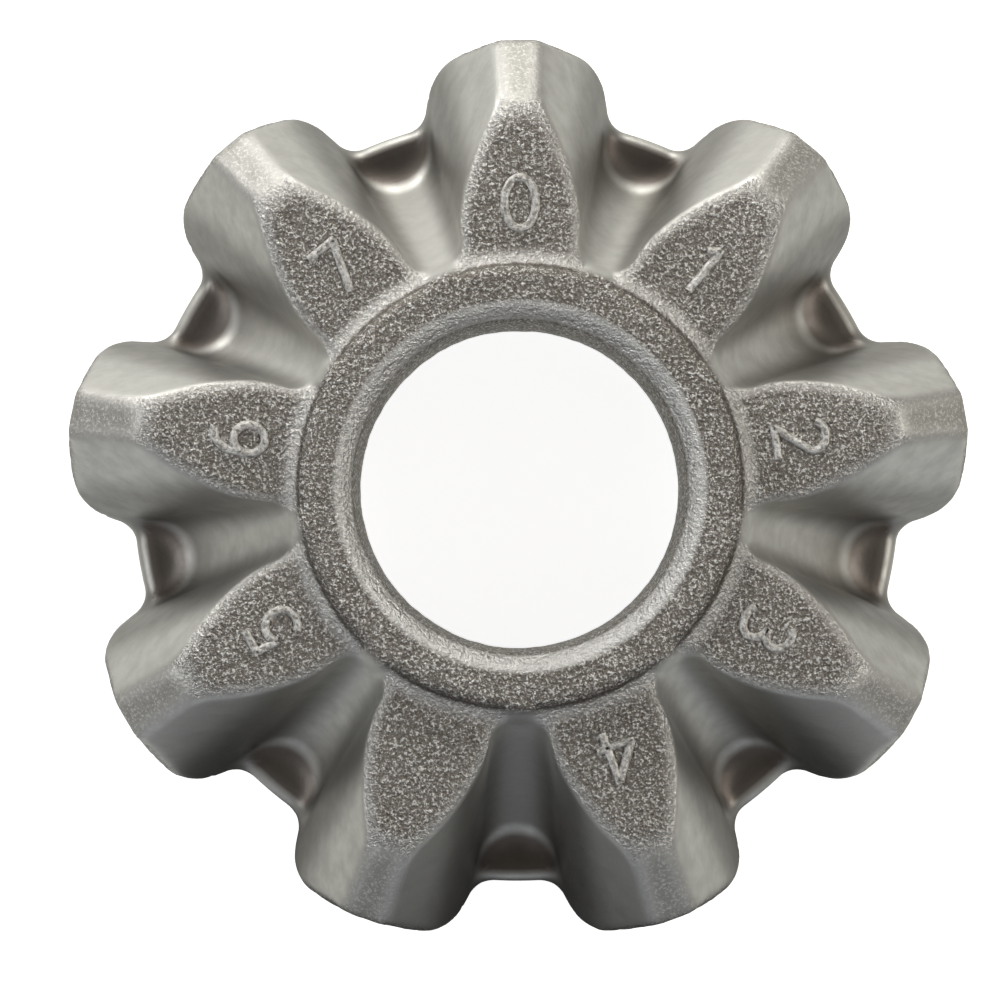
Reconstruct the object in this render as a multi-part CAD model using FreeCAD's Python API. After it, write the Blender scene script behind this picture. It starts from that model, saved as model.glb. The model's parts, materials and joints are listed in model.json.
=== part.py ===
import FreeCAD, Part
import math
import os

# A forged straight bevel pinion, the small gear of a bevel gear differential, in one piece.
# Millimetres. It lies on its flat back on z = 0, and the axis of its bore is Z.
# The toe, which is the small end, is up, and one tooth points to +Y.
# Every tooth surface runs straight to one apex, which the gear shares with its mating gear.

# Gear tooth data.
teeth = 9
mating_teeth = 14
module = 4.9
pressure_angle = math.radians(20.0)
addendum = 1.32 * module
# Half the tooth thickness on the pitch circle, as an angle of the equivalent spur gear.
half_thickness = math.radians(10.4)

# Planes across the axis, measured down from the apex.
toe_depth = 25.84
ledge_depth = 39.2
heel_tip_depth = 30.9

# Bore. The forging punches leave it tapered from both ends to a short pierced land.
bore_radius = 9.6
bore_land_length = 2.0
bore_toe_radius = 10.05
bore_toe_taper_depth = 2.6
bore_toe_chamfer = 0.85
bore_back_radius = 11.0
bore_back_chamfer = 0.4
# Raised ring round the bore.
ring_radius = 13.3
ring_height = 1.2
ring_edge_round = 0.4
# The toe face rises to the foot of the ring from this radius, up to this height.
ramp_radius = 14.5
ramp_height = 0.6

# Web behind the tooth spaces, heel and back.
web_radius = 23.65
web_edge_round = 0.8
heel_taper = math.radians(2.5)
back_sphere_radius = 48.0
back_flat_radius = 13.5

# Rounded corners of the forging.
toe_tip_round = 3.0
heel_tip_round = 1.6
heel_back_round = 5.0

# Worked out from the values above.
pitch_angle = math.atan(teeth / mating_teeth)
cone_distance = 0.5 * module * teeth / math.sin(pitch_angle)
face_angle = pitch_angle + math.atan(addendum / cone_distance)
virtual_pitch_radius = 0.5 * module * teeth / math.cos(pitch_angle)
virtual_base_radius = virtual_pitch_radius * math.cos(pressure_angle)
back_depth = math.sqrt(back_sphere_radius ** 2 - back_flat_radius ** 2)
half_pitch = math.pi / teeth

# Cutting solids run this far past the blank.
CLEAR = 6.0
ORIGIN = FreeCAD.Vector(0, 0, 0)
UP = FreeCAD.Vector(0, 0, 1)


def height(depth):
    """Height above the back of a plane this far below the apex."""
    return back_depth - depth


def involute(angle):
    return math.tan(angle) - angle


def flank_point(virtual_radius):
    """(radius for unit depth, half-angle of the tooth) of the flank, by its radius on the equivalent spur gear."""
    cone = pitch_angle + math.atan((virtual_radius - virtual_pitch_radius) / cone_distance)
    roll = math.acos(min(1.0, virtual_base_radius / virtual_radius))
    half = half_thickness + involute(pressure_angle) - involute(roll)
    return math.tan(cone), half / math.cos(pitch_angle)


def flank_outline(depth, steps=6):
    """(x, y) points of one wall of a tooth space on +X, from the base circle to just past the tip."""
    tip = 1.03 * (virtual_pitch_radius + cone_distance * math.tan(face_angle - pitch_angle))
    points = []
    for i in range(steps + 1):
        share = (i / steps) ** 1.5
        ratio, half = flank_point(virtual_base_radius + share * (tip - virtual_base_radius))
        angle = half_pitch - half
        points.append((depth * ratio * math.cos(angle), depth * ratio * math.sin(angle)))
    return points


def space_outline(depth):
    """Closed wire of one tooth space on +X, in the plane this far below the apex."""
    z = height(depth)
    wall = flank_outline(depth)
    left = [FreeCAD.Vector(x, y, z) for x, y in wall]
    right = [FreeCAD.Vector(x, -y, z) for x, y in reversed(wall)]
    # The root is one arc, tangent to both walls where they leave the base circle.
    x_base, y_base = wall[0]
    lean = math.atan2(y_base, x_base)
    root_round = y_base / math.cos(lean)
    root = FreeCAD.Vector(x_base - root_round * (1 - math.sin(lean)), 0, z)
    # Past the tip the outline runs on straight, clear of the blank.
    step = left[-1] - left[-2]
    far_left = left[-1] + step * (CLEAR * depth / toe_depth / step.Length)
    far_right = FreeCAD.Vector(far_left.x, -far_left.y, z)
    wall_left = Part.BSplineCurve()
    wall_left.interpolate(left)
    wall_right = Part.BSplineCurve()
    wall_right.interpolate(right)
    edges = [
        wall_left.toShape(),
        Part.LineSegment(left[-1], far_left).toShape(),
        Part.LineSegment(far_left, far_right).toShape(),
        Part.LineSegment(far_right, right[0]).toShape(),
        wall_right.toShape(),
        Part.Arc(right[-1], root, left[0]).toShape(),
    ]
    return Part.Wire(edges)


def on_back_sphere(radius):
    """(radius, height) of the spherical back, whose centre is the apex."""
    return radius, height(math.sqrt(back_sphere_radius ** 2 - radius ** 2))


def rounded_corner(before, corner, after, size):
    """Start, middle and end of the arc that rounds a corner between two straight runs."""
    x, z = corner
    to_before = math.atan2(before[1] - z, before[0] - x)
    to_after = math.atan2(after[1] - z, after[0] - x)
    half = 0.5 * abs(math.remainder(to_after - to_before, 2 * math.pi))
    inward = to_before + 0.5 * math.remainder(to_after - to_before, 2 * math.pi)
    reach = size / math.tan(half)
    middle = size / math.sin(half) - size
    return [
        (x + reach * math.cos(to_before), z + reach * math.sin(to_before)),
        (x + middle * math.cos(inward), z + middle * math.sin(inward)),
        (x + reach * math.cos(to_after), z + reach * math.sin(to_after)),
    ]


def heel_back_corner(heel_tip_radius):
    """Start, middle and end of the arc between the heel and the spherical back."""
    slope = math.tan(heel_taper)
    offset = heel_tip_radius + heel_tip_depth * slope - heel_back_round / math.cos(heel_taper)
    reach = back_sphere_radius - heel_back_round
    square = 1 + slope ** 2
    root = math.sqrt((slope * offset) ** 2 - square * (offset ** 2 - reach ** 2))
    depth = (slope * offset + root) / square
    radius = offset - slope * depth
    last = math.atan2(depth, radius)
    arc = []
    for angle in (-heel_taper, 0.5 * (last - heel_taper), last):
        point = (radius + heel_back_round * math.cos(angle), height(depth + heel_back_round * math.sin(angle)))
        arc.append(point)
    return arc


def blank():
    """The gear before its tooth spaces, with the bore, ring, top cone, heel and back."""
    toe_z = height(toe_depth)
    heel_tip_z = height(heel_tip_depth)
    ring_z = toe_z + ring_height
    ramp_foot = (ramp_radius, toe_z)
    toe_tip = (toe_depth * math.tan(face_angle), toe_z)
    heel_tip = (heel_tip_depth * math.tan(face_angle), heel_tip_z)
    ring_foot = (ring_radius, toe_z + ramp_height)
    ring_edge = (ring_radius, ring_z)
    chamfer_edge = (bore_toe_radius + bore_toe_chamfer, ring_z)
    bore_toe = (bore_toe_radius, ring_z - bore_toe_chamfer)
    land_top = (bore_radius, bore_toe[1] - bore_toe_taper_depth)
    land_end = (bore_radius, land_top[1] - bore_land_length)
    bore_back = (bore_back_radius, bore_back_chamfer)
    back_edge = (bore_back_radius + bore_back_chamfer, 0.0)
    flat_edge = on_back_sphere(back_flat_radius)
    heel_back = heel_back_corner(heel_tip[0])
    heel_corner = rounded_corner(heel_back[0], heel_tip, toe_tip, heel_tip_round)
    toe_corner = rounded_corner(heel_tip, toe_tip, ramp_foot, toe_tip_round)
    ring_corner = rounded_corner(ring_foot, ring_edge, chamfer_edge, ring_edge_round)
    back_middle = on_back_sphere(0.5 * (back_flat_radius + heel_back[2][0]))
    # Each run of two points is a straight line, and each run of three is an arc.
    runs = [
        [flat_edge, back_middle, heel_back[2]],
        heel_back[::-1],
        [heel_back[0], heel_corner[0]],
        heel_corner,
        [heel_corner[2], toe_corner[0]],
        toe_corner,
        [toe_corner[2], ramp_foot],
        [ramp_foot, ring_foot],
        [ring_foot, ring_corner[0]],
        ring_corner,
        [ring_corner[2], chamfer_edge],
        [chamfer_edge, bore_toe],
        [bore_toe, land_top],
        [land_top, land_end],
        [land_end, bore_back],
        [bore_back, back_edge],
        [back_edge, flat_edge],
    ]
    edges = []
    for run in runs:
        points = [FreeCAD.Vector(r, 0, z) for r, z in run]
        curve = Part.LineSegment(*points) if len(points) == 2 else Part.Arc(*points)
        edges.append(curve.toShape())
    return Part.Face(Part.Wire(edges)).revolve(ORIGIN, UP, 360)


def ring_core():
    """The cylinder under the ring, which the tooth spaces stop at."""
    start = FreeCAD.Vector(0, 0, height(toe_depth) - 2.0)
    return Part.makeCylinder(ring_radius, 2 * CLEAR, start)


def web_disc():
    """The disc that closes the heel end of the tooth spaces, whose flat top is their ledge."""
    ledge_z = height(ledge_depth)
    disc = Part.makeCylinder(web_radius, ledge_z + CLEAR, FreeCAD.Vector(0, 0, -CLEAR))
    rim = [e for e in disc.Edges if isinstance(e.Curve, Part.Circle) and e.CenterOfMass.z > 0]
    return disc.makeFillet(web_edge_round, rim)


def space_cutter():
    """What one tooth space on +X takes out of the blank."""
    shallow = space_outline(toe_depth - CLEAR)
    deep = space_outline(back_depth + CLEAR)
    cutter = Part.makeLoft([shallow, deep], True, True)
    for core in (ring_core(), web_disc()):
        # The half turn moves the core's seam out of the tooth space.
        core.rotate(ORIGIN, UP, 180)
        cutter = cutter.cut(core)
    return cutter.Solids[0]


def bevel_pinion():
    cutter = space_cutter()
    spaces = []
    for k in range(teeth):
        space = cutter.copy()
        space.rotate(ORIGIN, UP, 90.0 + math.degrees(half_pitch) * (2 * k + 1))
        spaces.append(space)
    return blank().cut(spaces).removeSplitter()


os.makedirs("parts", exist_ok=True)
pinion = bevel_pinion()
print("volume", round(pinion.Volume, 1), "valid", pinion.isValid(), "solids", len(pinion.Solids))
pinion.exportStep("parts/bevel_pinion.step")
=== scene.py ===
import json
import math

import bpy
import numpy as np
from mathutils import Matrix, Vector, noise


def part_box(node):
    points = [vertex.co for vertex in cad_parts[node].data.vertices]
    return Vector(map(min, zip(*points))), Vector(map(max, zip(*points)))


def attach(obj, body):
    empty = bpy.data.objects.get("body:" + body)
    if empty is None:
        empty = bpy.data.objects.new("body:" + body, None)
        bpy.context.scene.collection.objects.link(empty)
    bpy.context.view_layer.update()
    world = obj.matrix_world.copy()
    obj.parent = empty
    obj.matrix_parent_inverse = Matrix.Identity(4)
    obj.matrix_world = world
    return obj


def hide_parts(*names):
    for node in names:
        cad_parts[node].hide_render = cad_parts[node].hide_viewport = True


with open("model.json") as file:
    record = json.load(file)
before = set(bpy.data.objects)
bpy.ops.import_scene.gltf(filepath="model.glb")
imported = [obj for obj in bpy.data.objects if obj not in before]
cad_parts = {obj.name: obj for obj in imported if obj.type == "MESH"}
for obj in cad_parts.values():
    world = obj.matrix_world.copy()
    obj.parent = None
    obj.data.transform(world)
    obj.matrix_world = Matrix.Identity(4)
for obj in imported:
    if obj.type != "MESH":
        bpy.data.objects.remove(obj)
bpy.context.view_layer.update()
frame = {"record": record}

# A forged straight bevel pinion on a pale floor. The skin is one closed mesh that stands for the
# CAD body, with the rounded tooth edges, fillets and grain of the real forging.
# Lengths are millimetres in the CAD frame, and MM turns them into metres.
MM = 0.001
NODE = "bevel_pinion"
mounts = {mount["name"]: mount for mount in frame["record"]["mounts"]}
ring_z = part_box(NODE)[1].z / MM
bore_radius = mounts["bore"]["dims"]["r_mm"]
bore_land_length = mounts["bore"]["dims"]["length_mm"]
bore_land_z = mounts["bore"]["pos_m"][2] / MM

# Gear tooth data, as on the CAD body.
teeth = 9
mating_teeth = 14
module = 4.9
pressure_angle = math.radians(20.0)
addendum = 1.32 * module
half_thickness = math.radians(10.4)

# Depths below the apex, where all tooth surfaces meet.
toe_depth = 25.84
ledge_depth = 39.2
heel_tip_depth = 30.9

# Bore, ring, web and back.
bore_toe_radius = 10.05
bore_toe_chamfer = 0.85
bore_back_radius = 11.0
bore_back_chamfer = 0.4
back_flat_radius = 13.5
ring_radius = 13.3
ring_height = 1.2
ramp_radius = 14.5
ramp_height = 0.6
web_radius = 23.65
heel_taper = math.radians(2.5)
back_sphere_radius = 48.0

# Blend sizes of the forging. On slanted corners they are less than the radius that they give.
BORE_ROUND = 0.25
RING_ROUND = 0.6
TOE_TIP_ROUND = 1.0
HEEL_TIP_ROUND = 0.41
HEEL_BACK_ROUND = 2.2
RIM_ROUND = 0.8
BACK_ROUND = 0.3
CREASE_ON_TEETH = 0.12
CREASE_IN_SPACES = 1.7
FILLET_ON_LEDGE = 1.3
FILLET_IN_ROOTS = 1.2
FILLET_ON_FLANKS = 1.0
# Rounding of the long tooth edges: heights below the toe face, and the size at each.
EDGE_DEPTHS = (6.5, 4.5, 1.6, 0.3)
EDGE_ROUNDS = (0.6, 0.34, 0.34, 0.75)

# Worked out from the values above.
pitch_angle = math.atan(teeth / mating_teeth)
cone_distance = 0.5 * module * teeth / math.sin(pitch_angle)
face_angle = pitch_angle + math.atan(addendum / cone_distance)
virtual_pitch_radius = 0.5 * module * teeth / math.cos(pitch_angle)
virtual_base_radius = virtual_pitch_radius * math.cos(pressure_angle)
half_pitch = math.pi / teeth
toe_z = ring_z - ring_height
apex_z = toe_z + toe_depth
heel_tip_radius = heel_tip_depth * math.tan(face_angle)

# Mesh: each angle in degrees from the middle of a tooth, and the number of columns after it.
COLUMNS = [(0.0, 5), (3.5, 22), (12.6, 7), (15.2, 8), (20.0, 0)]
# The point (r, z) in the metal that the rays of every section start from, how far they search
# for the skin, and how many times the search halves.
CENTRE = (13.0, 4.0)
SEARCH_REACH = 30.0
SEARCH_STEPS = 34

# Unevenness of the skin as (waves per millimetre, height), everywhere and where it isn't coined.
SLOW_WAVES = (0.16, 0.05)
HAMMERING = [(0.55, 0.025), (1.6, 0.035)]


# ---------------------------------------------------------------- shape of the forging

def smooth_max(a, b, size):
    """The larger of two distances, with the edge between them rounded."""
    flat = np.minimum(np.maximum(a, b), -size)
    return flat + np.hypot(np.maximum(a + size, 0.0), np.maximum(b + size, 0.0))


def smooth_min(a, b, size):
    return -smooth_max(-a, -b, size)


def ramp(value, start, end):
    """0 before start, 1 after end, and smooth between them."""
    share = np.clip((value - start) / (end - start), 0.0, 1.0)
    return share * share * (3.0 - 2.0 * share)


def involute(angle):
    return np.tan(angle) - angle


def tooth_half_angle(ratio):
    """Half the angle of a tooth about the axis, where ratio is radius over depth."""
    virtual = virtual_pitch_radius + cone_distance * np.tan(np.arctan(ratio) - pitch_angle)
    roll = np.arccos(virtual_base_radius / np.maximum(virtual, virtual_base_radius))
    half = half_thickness + involute(pressure_angle) - involute(roll)
    return half / math.cos(pitch_angle)


base_cone = pitch_angle + math.atan((virtual_base_radius - virtual_pitch_radius) / cone_distance)
base_ratio = math.tan(base_cone)
root_lean = half_pitch - float(tooth_half_angle(base_ratio))
root_centre = base_ratio / math.cos(root_lean)
root_round = root_centre * math.sin(root_lean)


def tooth_wall(r, depth, angle):
    """Distance out of a tooth and into the space beside it, with the round root of the space."""
    ratio = r / depth
    step = 1e-4
    slope = (tooth_half_angle(ratio + step) - tooth_half_angle(ratio - step)) / (2.0 * step)
    lean = np.arctan(ratio * slope)
    wall = ratio * (angle - tooth_half_angle(ratio)) * np.cos(lean)
    along = -ratio * np.sin(lean)
    x = ratio * np.cos(half_pitch - angle)
    y = ratio * np.sin(half_pitch - angle)
    reach = np.hypot(x - root_centre, y) + 1e-9
    in_root = x * math.cos(root_lean) + y * math.sin(root_lean) < base_ratio
    wall = np.where(in_root, root_round - reach, wall)
    along = np.where(in_root, -(x * (x - root_centre) + y * y) / reach, along)
    return depth * wall / np.sqrt(1.0 + along * along)


def surfaces(r, z, angle):
    """Signed distance to each surface of the forging, positive outside the metal."""
    depth = apex_z - z
    foot = np.clip((ramp_radius - r) / (ramp_radius - ring_radius), 0.0, 1.0)
    heel = r - heel_tip_radius - (heel_tip_depth - depth) * math.tan(heel_taper)
    land_top = bore_land_z + 0.5 * bore_land_length
    land_end = bore_land_z - 0.5 * bore_land_length
    bore_z = [0.0, bore_back_chamfer, land_end, land_top, ring_z - bore_toe_chamfer]
    bore_mouth = bore_back_radius + bore_back_chamfer
    bore_r = [bore_mouth, bore_back_radius, bore_radius, bore_radius, bore_toe_radius]
    chamfer = (bore_toe_radius + bore_toe_chamfer + z - ring_z - r) * math.sqrt(0.5)
    return {
        "toe": z - toe_z - ramp_height * foot * foot,
        "land": r * math.cos(face_angle) - depth * math.sin(face_angle),
        "heel": heel * math.cos(heel_taper),
        "back": np.hypot(r, depth) - back_sphere_radius,
        "wall": tooth_wall(r, depth, angle),
        "ledge": ledge_depth - depth,
        "rim": r - web_radius,
        "core": r - ring_radius,
        "ring": z - ring_z,
        "flat": -z,
        "bore": smooth_max(np.interp(z, bore_z, bore_r) - r, chamfer, BORE_ROUND),
    }


def forging(r, z, angle):
    """Distance to the whole forging, with its rounded edges and fillets."""
    s = surfaces(r, z, angle)
    blank = smooth_max(s["toe"], s["land"], TOE_TIP_ROUND)
    blank = smooth_max(blank, s["heel"], HEEL_TIP_ROUND)
    blank = smooth_max(blank, s["back"], HEEL_BACK_ROUND)
    web = smooth_max(s["ledge"], s["rim"], RIM_ROUND)
    in_root = 1.0 - ramp(half_pitch - angle, 0.3 * root_lean, 1.6 * root_lean)
    above_ledge = ramp(s["ledge"], -1.5, 0.5)
    above = FILLET_ON_FLANKS + (FILLET_IN_ROOTS - FILLET_ON_FLANKS) * in_root
    fillet = FILLET_ON_LEDGE + (above - FILLET_ON_LEDGE) * above_ledge
    teeth_and_web = smooth_min(s["wall"], web, fillet)
    edge = np.interp(z, [toe_z - below for below in EDGE_DEPTHS], EDGE_ROUNDS)
    body = smooth_max(blank, teeth_and_web, edge)
    ring = smooth_max(s["core"], s["ring"], RING_ROUND)
    crease = CREASE_ON_TEETH + (CREASE_IN_SPACES - CREASE_ON_TEETH) * ramp(s["wall"], -0.5, 0.4)
    whole = smooth_min(body, ring, crease)
    whole = smooth_max(whole, s["flat"], BACK_ROUND)
    return smooth_max(whole, s["bore"], BORE_ROUND)


def column_angles():
    """Angles from the middle of a tooth to the middle of a space, closest on the tooth's edge."""
    angles = []
    for (start, count), (end, _) in zip(COLUMNS, COLUMNS[1:]):
        angles += [start + (end - start) * i / count for i in range(count)]
    return np.radians(angles + [COLUMNS[-1][0]])


def toward(r, z):
    """Direction from the middle of the section to a point, as an angle from the radius."""
    return math.atan2(z - CENTRE[1], r - CENTRE[0])


def ray_angles():
    """Directions of the rows, once round the section, from the flat back by the heel to the bore."""
    toe_tip = toe_depth * math.tan(face_angle)
    heel_tip_z = apex_z - heel_tip_depth
    ledge_z = apex_z - ledge_depth
    stops = [
        (toward(back_flat_radius, 0.0), 7),
        (toward(heel_tip_radius, 2.4), 6),
        (toward(web_radius, ledge_z - RIM_ROUND), 5),
        (toward(web_radius - 0.2, ledge_z), 8),
        (toward(web_radius - 2.85, ledge_z + 0.25), 9),
        (toward(heel_tip_radius, heel_tip_z - 0.8), 6),
        (toward(heel_tip_radius - 0.6, heel_tip_z + 0.7), 14),
        (toward(toe_tip, toe_z), 36),
        (toward(ring_radius + 0.5, toe_z + 0.3), 7),
        (toward(ring_radius, ring_z), 4),
        (toward(ring_radius - 0.4, ring_z), 9),
        (toward(bore_toe_radius + bore_toe_chamfer + 0.2, ring_z), 6),
        (toward(bore_toe_radius, ring_z - bore_toe_chamfer - 0.2), 6),
        (toward(bore_radius, bore_land_z), 4),
        (2 * math.pi + toward(bore_back_radius, 0.6), 3),
        (2 * math.pi + toward(bore_back_radius + bore_back_chamfer, 0.0), 2),
        (2 * math.pi + toward(back_flat_radius, 0.0), 0),
    ]
    rays = []
    for (start, count), (end, _) in zip(stops, stops[1:]):
        rays += [start + (end - start) * i / count for i in range(count)]
    return np.array(rays)


def half_tooth():
    """(angle, r, z) grids of the skin from the middle of a tooth to the middle of a space."""
    angle, ray = np.meshgrid(column_angles(), ray_angles(), indexing="ij")
    near = np.zeros_like(ray)
    far = np.full_like(ray, SEARCH_REACH)
    for _ in range(SEARCH_STEPS):
        middle = 0.5 * (near + far)
        r = CENTRE[0] + middle * np.cos(ray)
        z = CENTRE[1] + middle * np.sin(ray)
        inside = forging(r, z, angle) < 0.0
        near = np.where(inside, middle, near)
        far = np.where(inside, far, middle)
    return angle, CENTRE[0] + near * np.cos(ray), CENTRE[1] + near * np.sin(ray)


def half_normals(angle, r, z):
    """Outward normal as its radial, tangential and upward parts."""
    step = 1e-3
    radial = forging(r + step, z, angle) - forging(r - step, z, angle)
    turn = step / r
    tangential = forging(r, z, angle + turn) - forging(r, z, angle - turn)
    upward = forging(r, z + step, angle) - forging(r, z - step, angle)
    size = np.sqrt(radial ** 2 + tangential ** 2 + upward ** 2)
    return radial / size, tangential / size, upward / size


def half_masks(angle, r, z):
    """How far each kind of surface shows at each point, from 0 to 1.

    Ramps on a surface run over millimetres from it. Others run over radius, height or angle.
    """
    s = surfaces(r, z, angle)
    coined = ramp(s["wall"], -0.2, -0.02) * ramp(s["core"], 0.0, 0.5)
    # Painted dark reflection: a dark brown patch on the ledge at the outer end of each tooth space,
    # clear of the rim.
    on_ledge = ramp(s["ledge"], -1.4, -0.2) * (1.0 - ramp(s["ledge"], 0.4, 1.3))
    ledge = on_ledge * ramp(s["wall"], 0.05, 0.45) * (1.0 - ramp(s["rim"], -0.75, -0.15))
    land = ramp(s["land"], -0.35, -0.08) * (1.0 - coined)
    # Worn rounding from toe face to land, partly a painted highlight.
    tip_wear_and_highlight = ramp(s["land"], -0.9, -0.25) * ramp(s["toe"], -0.9, -0.25) * (1.0 - coined)
    # Painted shade: dark bands down both sides of each tooth space beside the root, stronger towards
    # the outside.
    beside_root = np.abs(half_pitch - angle - 1.15 * root_lean) / root_lean
    deeper_outward = 0.3 + 0.7 * ramp(r, 15.0, 20.0)
    root_painted_shade = (1.0 - ramp(beside_root, 0.2, 0.85)) * deeper_outward * coined
    on_ring = np.hypot(s["core"], z - toe_z - ramp_height)
    crease = (1.0 - ramp(on_ring, 0.05, 0.32)) * (1.0 - coined)
    # Painted highlight on the sloping foot round the ring.
    foot = (1.0 - ramp(s["core"], 0.5, 1.3)) * ramp(s["core"], 0.05, 0.3) * (1.0 - coined)
    # Painted highlight on the chamfer at the bore's toe end.
    chamfer = (1.0 - ramp(r, 11.0, 11.25)) * ramp(z, ring_z - 0.95, ring_z - 0.75)
    bore = 1.0 - ramp(z, ring_z - bore_toe_chamfer - 0.4, ring_z - bore_toe_chamfer + 0.1)
    bore = bore * ramp(-s["bore"], -0.3, -0.05) * (r < 11.6)
    # Worn long tooth edges near the toe, partly a painted highlight.
    by_wall = ramp(s["wall"], -0.75, -0.1) * (1.0 - ramp(s["wall"], -0.16, 0.0))
    edges = by_wall * ramp(z, toe_z - 5.5, toe_z - 4.0)
    return {
        "coined": coined,
        "ledge": ledge,
        "land": land,
        "tip_wear_and_highlight": tip_wear_and_highlight,
        "root_painted_shade": root_painted_shade,
        "crease": crease,
        "foot": foot,
        "chamfer": chamfer,
        "bore": bore,
        "edge_wear_and_highlight": edges * (r > ring_radius + 0.4),
    }


def around(grid, flip=1.0):
    """The half tooth's grid repeated round the gear, mirrored on the other side of each tooth."""
    tooth = np.concatenate([flip * grid[:0:-1], grid[:-1]])
    return np.concatenate([tooth] * teeth)


def relief(points, normals, rough):
    """Uneven skin of the forging: slow waves everywhere and hammered grain where it is rough."""
    moved = np.empty(len(points))
    for i, point in enumerate(points):
        place = Vector(point)
        wave = noise.noise(place * SLOW_WAVES[0]) * SLOW_WAVES[1]
        if rough[i] > 0.01:
            for density, height in HAMMERING:
                wave += rough[i] * noise.noise(place * density) * height
        moved[i] = wave
    return points + normals * moved[:, None]


def build_skin():
    """The whole skin as one closed mesh of quads, with the masks as attributes."""
    angle, r, z = half_tooth()
    radial, tangential, upward = half_normals(angle, r, z)
    masks = {name: around(grid).ravel() for name, grid in half_masks(angle, r, z).items()}
    columns = 2 * (len(angle) - 1) * teeth
    rows = angle.shape[1]
    first = np.repeat(math.pi / 2 + 2 * half_pitch * np.arange(teeth), columns // teeth)[:, None]
    turn = around(angle, -1.0) + first
    r, z = around(r), around(z)
    radial, tangential, upward = around(radial), around(tangential, -1.0), around(upward)
    points = np.stack([r * np.cos(turn), r * np.sin(turn), z], axis=-1).reshape(-1, 3)
    normals = np.stack(
        [
            radial * np.cos(turn) - tangential * np.sin(turn),
            radial * np.sin(turn) + tangential * np.cos(turn),
            upward,
        ],
        axis=-1,
    ).reshape(-1, 3)
    rough = 1.0 - masks["coined"]
    stands_on = ramp(points[:, 2], 0.05, 1.5)
    points = relief(points, normals * stands_on[:, None], rough)
    index = np.arange(columns * rows).reshape(columns, rows)
    ahead = np.roll(index, -1, axis=0)
    faces = np.stack(
        [index, ahead, np.roll(ahead, -1, axis=1), np.roll(index, -1, axis=1)],
        axis=-1,
    ).reshape(-1, 4)
    mesh = bpy.data.meshes.new("pinion_skin")
    mesh.from_pydata((points * MM).tolist(), [], faces.tolist())
    for name, values in masks.items():
        layer = mesh.attributes.new(name, "FLOAT", "POINT")
        layer.data.foreach_set("value", values.astype(np.float32))
    mesh.polygons.foreach_set("use_smooth", [True] * len(faces))
    mesh.update()
    skin = bpy.data.objects.new("pinion_skin", mesh)
    bpy.context.collection.objects.link(skin)
    return skin


# ---------------------------------------------------------------- raised numbers

def arc(x, y, across, up, start, end, steps=10):
    """Points on an ellipse from one angle to another, in degrees."""
    angles = [math.radians(start + (end - start) * i / steps) for i in range(steps + 1)]
    return [(x + across * math.cos(a), y + up * math.sin(a)) for a in angles]


# Strokes of each number in millimetres, in a cell about 2 wide and 3.2 high about its middle.
STROKES = {
    0: [arc(0, 0, 0.95, 1.55, 0, 360, 24)],
    1: [[(-0.5, 1.0), (0.15, 1.5)], [(0.15, 1.65), (0.15, -1.55)]],
    2: [arc(0, 0.75, 0.9, 0.8, 160, -20, 12) + [(-0.9, -1.5)], [(-1.05, -1.5), (1.0, -1.5)]],
    3: [arc(-0.1, 0.78, 0.9, 0.75, 140, -90), arc(-0.1, -0.75, 1.0, 0.8, 90, -140)],
    4: [[(0.45, -1.55), (0.45, 1.65)], [(0.4, 1.5), (-1.1, -0.6)], [(-1.25, -0.6), (1.1, -0.6)]],
    5: [
        [(0.85, 1.5), (-0.9, 1.5)],
        [(-0.7, 1.5), (-0.75, 0.1)],
        arc(-0.05, -0.55, 0.95, 1.0, 135, -140, 12),
    ],
    6: [arc(0.3, 0.2, 1.15, 1.4, 80, 180, 6) + arc(0, -0.6, 0.87, 0.95, 180, 520, 18)],
    7: [[(-0.95, 1.5), (1.05, 1.5)], [(0.9, 1.5), (-0.25, -1.55)]],
}
# For each tooth, clockwise from the one at +Y: its number, and how far that stands up.
# The tooth left out is blank.
NUMBERS = {
    0: (0, 0.16),
    1: (1, 0.22),
    2: (2, 0.24),
    3: (3, 0.18),
    4: (4, 0.22),
    6: (5, 0.20),
    7: (6, 0.18),
    8: (7, 0.16),
}
NUMBER_RADIUS = 17.1
STROKE_WIDTH = 0.54


def build_number(digit, tooth, rise):
    """One raised number on the toe face of a tooth, its top outward."""
    curve = bpy.data.curves.new(f"number_{digit}", "CURVE")
    curve.dimensions = "3D"
    curve.bevel_depth = 0.5 * STROKE_WIDTH * MM
    curve.bevel_resolution = 3
    curve.use_fill_caps = True
    for stroke in STROKES[digit]:
        closed = math.dist(stroke[0], stroke[-1]) < 1e-6
        stroke = stroke[:-1] if closed else stroke
        spline = curve.splines.new("POLY")
        spline.points.add(len(stroke) - 1)
        for point, (x, y) in zip(spline.points, stroke):
            point.co = (x * MM, y * MM, 0.0, 1.0)
        spline.use_cyclic_u = closed
    number = bpy.data.objects.new(f"number_{digit}", curve)
    bpy.context.collection.objects.link(number)
    turn = math.pi / 2 - 2 * half_pitch * tooth
    outward = Vector((math.cos(turn), math.sin(turn), 0.0))
    right = Vector((math.sin(turn), -math.cos(turn), 0.0))
    flatten = rise / (0.5 * STROKE_WIDTH)
    place = Matrix.Translation((outward * NUMBER_RADIUS + Vector((0, 0, toe_z))) * MM)
    axes = Matrix((right, outward, Vector((0, 0, 1)))).transposed().to_4x4()
    number.matrix_world = place @ axes @ Matrix.Diagonal((1.0, 1.0, flatten, 1.0))
    return number


# ---------------------------------------------------------------- material

def add(tree, kind, inputs=None, **settings):
    """A shader node whose inputs are given as values or as other nodes' outputs."""
    made = tree.nodes.new(kind)
    for name, value in settings.items():
        setattr(made, name, value)
    for name, value in (inputs or {}).items():
        if isinstance(value, bpy.types.NodeSocket):
            tree.links.new(value, made.inputs[name])
        else:
            made.inputs[name].default_value = value
    return made


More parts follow.
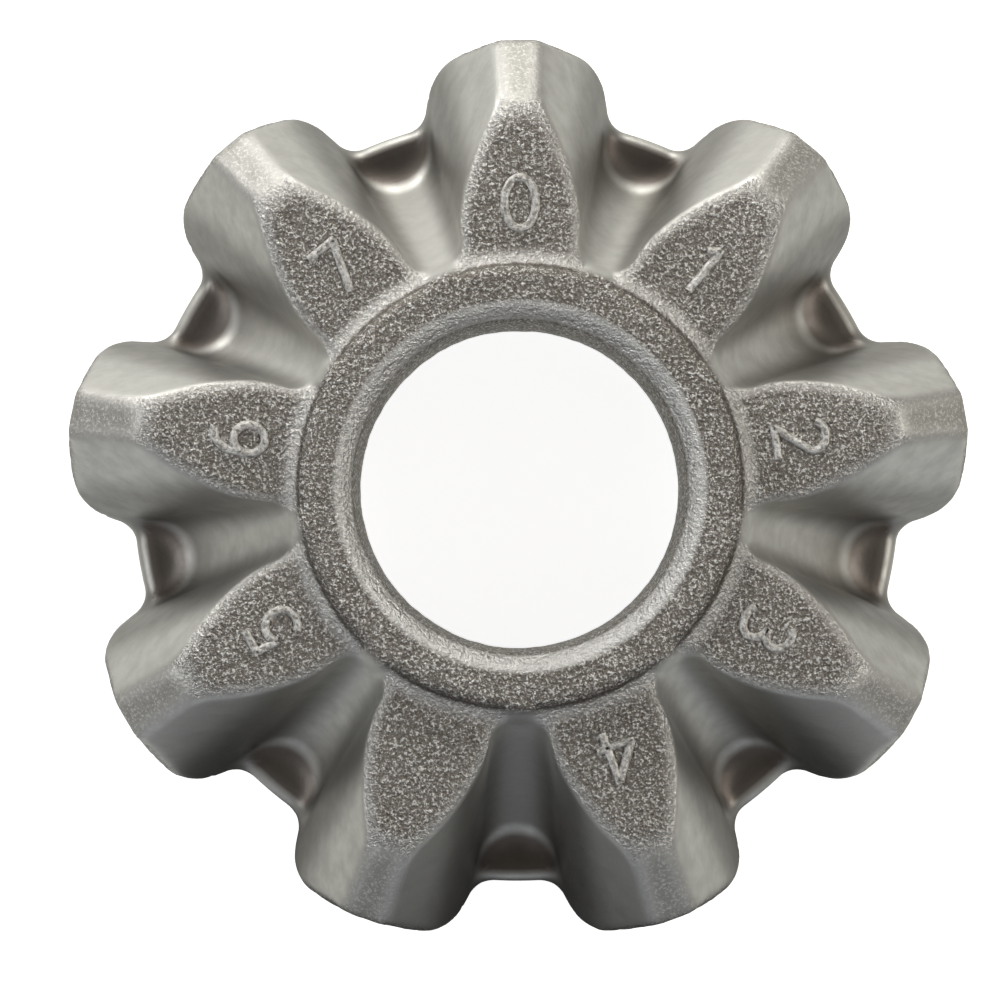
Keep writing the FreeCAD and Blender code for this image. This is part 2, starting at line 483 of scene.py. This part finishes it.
def maths(tree, operation, a, b=0.0):
    return add(tree, "ShaderNodeMath", {0: a, 1: b}, operation=operation).outputs[0]


def spread(tree, value, low_in, high_in, low_out, high_out):
    """A value moved from one range to another and held inside it."""
    inputs = {
        "Value": value,
        "From Min": low_in,
        "From Max": high_in,
        "To Min": low_out,
        "To Max": high_out,
    }
    return add(tree, "ShaderNodeMapRange", inputs).outputs["Result"]


def mix_colour(tree, share, first, second, blend="MIX"):
    inputs = {0: share, 6: first, 7: second}
    return add(tree, "ShaderNodeMix", inputs, data_type="RGBA", blend_type=blend).outputs[2]


def mix_value(tree, share, first, second):
    inputs = {0: share, 2: first, 3: second}
    return add(tree, "ShaderNodeMix", inputs, data_type="FLOAT").outputs[0]


def speckle(tree, place, size, detail=2.0, roughness=0.5):
    """Noise whose lumps are this many millimetres across."""
    inputs = {"Vector": place, "Scale": 1.0 / (size * MM), "Detail": detail, "Roughness": roughness}
    return add(tree, "ShaderNodeTexNoise", inputs).outputs["Fac"]


def attribute(tree, name):
    return add(tree, "ShaderNodeAttribute", attribute_name=name).outputs["Fac"]


# Linear reflectances of the steel.
BLASTED = (0.200, 0.182, 0.160, 1.0)
BLASTED_LIGHT = (0.36, 0.34, 0.31, 1.0)
COINED = (0.72, 0.715, 0.68, 1.0)
COINED_DARK = (0.56, 0.555, 0.525, 1.0)
# Painted shade for the dark bands beside the tooth roots.
ROOT_PAINTED_SHADE = (0.20, 0.19, 0.175, 1.0)
# Painted dark reflection for the ledges.
LEDGE_PAINTED_REFLECTION = (0.11, 0.088, 0.075, 1.0)
CREASE_DARK = (0.13, 0.115, 0.10, 1.0)
BORE_BROWN = (0.27, 0.245, 0.22, 1.0)
# Worn steel, which on the tips, edges, foot and chamfer is also painted highlight.
WORN_AND_HIGHLIGHT = (0.74, 0.73, 0.71, 1.0)

# Stains, worn places, painted shade and painted highlights as (mask, strength, colour), laid over
# the steel in this order.
STAINS_AND_PAINTED_LIGHT = [
    # Painted shade beside the roots.
    ("root_painted_shade", 0.7, ROOT_PAINTED_SHADE),
    # Painted dark reflection on the ledges.
    ("ledge", 0.88, LEDGE_PAINTED_REFLECTION),
    ("land", 0.5, COINED),
    # Worn tips, partly painted highlight.
    ("tip_wear_and_highlight", 0.45, WORN_AND_HIGHLIGHT),
    ("bore", 0.15, BORE_BROWN),
    # Painted highlight on the foot of the ring.
    ("foot", 0.6, WORN_AND_HIGHLIGHT),
    # Worn tooth edges, partly painted highlight.
    ("edge_wear_and_highlight", 0.55, WORN_AND_HIGHLIGHT),
    # Painted highlight on the bore chamfer.
    ("chamfer", 1.0, WORN_AND_HIGHLIGHT),
    # Darker along the crease at the ring's foot.
    ("crease", 0.8, CREASE_DARK),
]

# Sizes of the patterns in the steel, in millimetres, and the height of the bump.
GRAIN = 0.23
FINE_GRAIN = 0.12
PITS = 0.22
MOTTLE = 4.5
STREAKS = 1.3
BUMP_HEIGHT = 0.21
NUMBER_GRAIN = 0.27
NUMBER_BUMP_HEIGHT = 0.17


def forged_steel():
    """Shot-blasted forging skin, smooth and satin where the die coined the tooth flanks."""
    material = bpy.data.materials.new("forged_steel_skin")
    material.use_nodes = True
    tree = material.node_tree
    tree.nodes.clear()
    place = add(tree, "ShaderNodeTexCoord").outputs["Object"]
    coined = attribute(tree, "coined")
    rough = maths(tree, "SUBTRACT", 1.0, coined)
    grain = speckle(tree, place, GRAIN, 2.0, 0.6)
    fine = speckle(tree, place, FINE_GRAIN, 1.0, 0.5)
    mottle = speckle(tree, place, MOTTLE, 4.0, 0.6)
    streak = speckle(tree, place, STREAKS, 3.0, 0.6)
    pit_inputs = {"Vector": place, "Scale": 1.0 / (PITS * MM)}
    pits = add(tree, "ShaderNodeTexVoronoi", pit_inputs, feature="SMOOTH_F1").outputs["Distance"]

    mottled = spread(tree, mottle, 0.3, 0.7, 0.1, 0.4)
    pips = mix_value(tree, 0.45, grain, fine)
    peaks = spread(tree, pips, 0.51, 0.61, 0.0, 1.0)
    blasted = mix_colour(tree, mottled, BLASTED, BLASTED_LIGHT)
    blasted = mix_colour(tree, peaks, blasted, WORN_AND_HIGHLIGHT)
    hollows = spread(tree, pips, 0.36, 0.49, 0.75, 0.0)
    blasted = mix_colour(tree, hollows, blasted, CREASE_DARK)
    smooth = mix_colour(tree, spread(tree, streak, 0.35, 0.65, 0.0, 0.6), COINED, COINED_DARK)
    colour = mix_colour(tree, coined, blasted, smooth)
    for name, strength, overlay_colour in STAINS_AND_PAINTED_LIGHT:
        share = maths(tree, "MULTIPLY", attribute(tree, name), strength)
        colour = mix_colour(tree, share, colour, overlay_colour)

    satin = spread(tree, streak, 0.3, 0.7, 0.46, 0.55)
    matt = spread(tree, fine, 0.3, 0.7, 0.38, 0.56)
    gloss = mix_value(tree, coined, matt, satin)
    gloss = maths(tree, "ADD", gloss, maths(tree, "MULTIPLY", attribute(tree, "land"), 0.14))

    lumps = maths(tree, "ADD", grain, maths(tree, "MULTIPLY", fine, 0.35))
    lumps = maths(tree, "SUBTRACT", lumps, maths(tree, "MULTIPLY", pits, 0.35))
    landing = maths(tree, "MULTIPLY", attribute(tree, "land"), 0.78)
    strength = maths(tree, "SUBTRACT", maths(tree, "MULTIPLY", rough, 0.9), landing)
    strength = maths(tree, "ADD", strength, 0.04)
    bump_inputs = {"Height": lumps, "Strength": strength, "Distance": BUMP_HEIGHT * MM}
    bump = add(tree, "ShaderNodeBump", bump_inputs)
    inputs = {
        "Base Color": colour,
        "Metallic": 1.0,
        "Roughness": gloss,
        "Normal": bump.outputs["Normal"],
    }
    shader = add(tree, "ShaderNodeBsdfPrincipled", inputs)
    add(tree, "ShaderNodeOutputMaterial", {"Surface": shader.outputs[0]})
    return material


def number_steel():
    """The same steel on the raised numbers, worn brighter."""
    material = bpy.data.materials.new("number_steel")
    material.use_nodes = True
    tree = material.node_tree
    tree.nodes.clear()
    place = add(tree, "ShaderNodeTexCoord").outputs["Object"]
    grain = speckle(tree, place, NUMBER_GRAIN, 3.0, 0.65)
    colour = mix_colour(tree, spread(tree, grain, 0.38, 0.56, 0.0, 1.0), BLASTED_LIGHT, WORN_AND_HIGHLIGHT)
    bump_inputs = {"Height": grain, "Strength": 0.9, "Distance": NUMBER_BUMP_HEIGHT * MM}
    bump = add(tree, "ShaderNodeBump", bump_inputs)
    matt = spread(tree, grain, 0.3, 0.7, 0.35, 0.5)
    inputs = {
        "Base Color": colour,
        "Metallic": 1.0,
        "Roughness": matt,
        "Normal": bump.outputs["Normal"],
    }
    shader = add(tree, "ShaderNodeBsdfPrincipled", inputs)
    add(tree, "ShaderNodeOutputMaterial", {"Surface": shader.outputs[0]})
    return material


# ---------------------------------------------------------------- studio

# The floor's half width, and the light that it gives off.
FLOOR_HALF_WIDTH = 3000.0
FLOOR_GLOW = 0.88
# The dark card's edges: y of the near and far ones, half width of the far one, and its height.
CARD_NEAR = -15.0
CARD_FAR = -75.0
CARD_HALF_WIDTH = 32.0
CARD_NARROWING = 0.6
CARD_Z = -1.0


def build_floor():
    """A pale lit floor, which the steel doesn't mirror."""
    size = FLOOR_HALF_WIDTH * MM
    mesh = bpy.data.meshes.new("floor")
    corners = [(-size, -size, 0.0), (size, -size, 0.0), (size, size, 0.0), (-size, size, 0.0)]
    mesh.from_pydata(corners, [], [(0, 1, 2, 3)])
    floor = bpy.data.objects.new("floor", mesh)
    bpy.context.collection.objects.link(floor)
    floor.visible_glossy = False
    material = bpy.data.materials.new("pale_floor")
    material.use_nodes = True
    tree = material.node_tree
    tree.nodes.clear()
    place = add(tree, "ShaderNodeTexCoord").outputs["Object"]
    paper = spread(tree, speckle(tree, place, 6.0), 0.3, 0.7, 0.86, 0.90)
    inputs = {
        "Base Color": paper,
        "Roughness": 0.9,
        "Emission Color": (1, 1, 1, 1),
        "Emission Strength": FLOOR_GLOW,
    }
    shader = add(tree, "ShaderNodeBsdfPrincipled", inputs)
    add(tree, "ShaderNodeOutputMaterial", {"Surface": shader.outputs[0]})
    mesh.materials.append(material)


def build_dark_card():
    """A black card below the floor on the unlit side, which only the steel mirrors."""
    mesh = bpy.data.meshes.new("dark_card")
    near, far, level = CARD_NEAR * MM, CARD_FAR * MM, CARD_Z * MM
    side = CARD_HALF_WIDTH * MM
    near_side = CARD_NARROWING * side
    corners = [
        (-side, far, level),
        (side, far, level),
        (near_side, near, level),
        (-near_side, near, level),
    ]
    mesh.from_pydata(corners, [], [(0, 1, 2, 3)])
    card = bpy.data.objects.new("dark_card", mesh)
    bpy.context.collection.objects.link(card)
    card.visible_camera = False
    material = bpy.data.materials.new("black_card")
    material.use_nodes = True
    shader = material.node_tree.nodes["Principled BSDF"]
    shader.inputs["Base Color"].default_value = (0.02, 0.02, 0.02, 1.0)
    mesh.materials.append(material)


# Softboxes as (name, place, width, watts, colour), and the point that they face.
LAMPS = [
    ("key", (0, 330, 75), 170, 0.53, (1.0, 0.99, 0.95)),
    ("upper_left", (-195, 265, 45), 95, 0.36, (1.0, 1.0, 0.98)),
    ("right", (300, 40, 240), 170, 0.56, (1.0, 0.985, 0.93)),
    ("left", (-300, -10, 240), 170, 0.44, (0.94, 0.97, 1.0)),
]
LAMP_AIM = (0.0, 0.0, 15.0)


def softbox(name, place, size, power, colour):
    """A square area light that faces the gear."""
    light = bpy.data.lights.new(name, "AREA")
    light.size = size * MM
    light.energy = power
    light.color = colour
    lamp = bpy.data.objects.new(name, light)
    bpy.context.collection.objects.link(lamp)
    lamp.location = Vector(place) * MM
    aim = Vector(LAMP_AIM) * MM - lamp.location
    lamp.rotation_euler = aim.to_track_quat("-Z", "Y").to_euler()


# Light of the room: the dark above, the pale table below, and the bluish side at -Y.
WORLD_UPPER = (0.15, 0.138, 0.122, 1.0)
WORLD_LOWER = (0.72, 0.72, 0.68, 1.0)
WORLD_FRONT = (0.41, 0.43, 0.465, 1.0)


def build_lights():
    """The lamps, and the world that the steel mirrors."""
    for lamp in LAMPS:
        softbox(*lamp)
    bpy.context.scene.view_settings.view_transform = "Standard"
    world = bpy.data.worlds.new("studio")
    bpy.context.scene.world = world
    world.use_nodes = True
    tree = world.node_tree
    tree.nodes.clear()
    direction = add(tree, "ShaderNodeTexCoord").outputs["Generated"]
    parts = add(tree, "ShaderNodeSeparateXYZ", {"Vector": direction})
    lower = spread(tree, parts.outputs["Z"], -0.15, -0.65, 0.0, 1.0)
    front = spread(tree, parts.outputs["Y"], -0.35, -0.85, 0.0, 0.85)
    sides = mix_colour(tree, lower, WORLD_UPPER, WORLD_LOWER)
    colour = mix_colour(tree, front, sides, WORLD_FRONT)
    background = add(tree, "ShaderNodeBackground", {"Color": colour, "Strength": 1.0})
    add(tree, "ShaderNodeOutputWorld", {"Surface": background.outputs[0]})


# Camera: how far off it stands, how much it sees, how far it leans off the axis, and the point
# (x, y) of the ring face that it looks at.
CAMERA_DISTANCE = 440.0
VIEW_WIDTH = 59.8
LEAN_DOWN = math.radians(2.7)
LEAN_LEFT = math.radians(0.65)
AIM = (-1.22, -0.83)


def build_camera():
    """A long lens above the toe end, nearly along the axis."""
    camera_data = bpy.data.cameras.new("camera")
    camera_data.sensor_width = 36.0
    camera_data.lens = 36.0 * CAMERA_DISTANCE / VIEW_WIDTH
    camera_data.clip_start = 0.01
    camera = bpy.data.objects.new("camera", camera_data)
    bpy.context.collection.objects.link(camera)
    back = Vector((-math.sin(LEAN_LEFT), -math.sin(LEAN_DOWN), 1.0)).normalized()
    right = Vector((0, 1, 0)).cross(back).normalized()
    up = back.cross(right)
    target = Vector((AIM[0], AIM[1], ring_z))
    turn = Matrix((right, up, back)).transposed().to_4x4()
    camera.matrix_world = Matrix.Translation((target + back * CAMERA_DISTANCE) * MM) @ turn
    bpy.context.scene.camera = camera


skin = build_skin()
skin.data.materials.append(forged_steel())
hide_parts(NODE)
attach(skin, "root")

raised_steel = number_steel()
for tooth_index, (digit_value, rise_height) in NUMBERS.items():
    piece = build_number(digit_value, tooth_index, rise_height)
    piece.data.materials.append(raised_steel)
    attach(piece, "root")

build_floor()
build_dark_card()
build_lights()
build_camera()
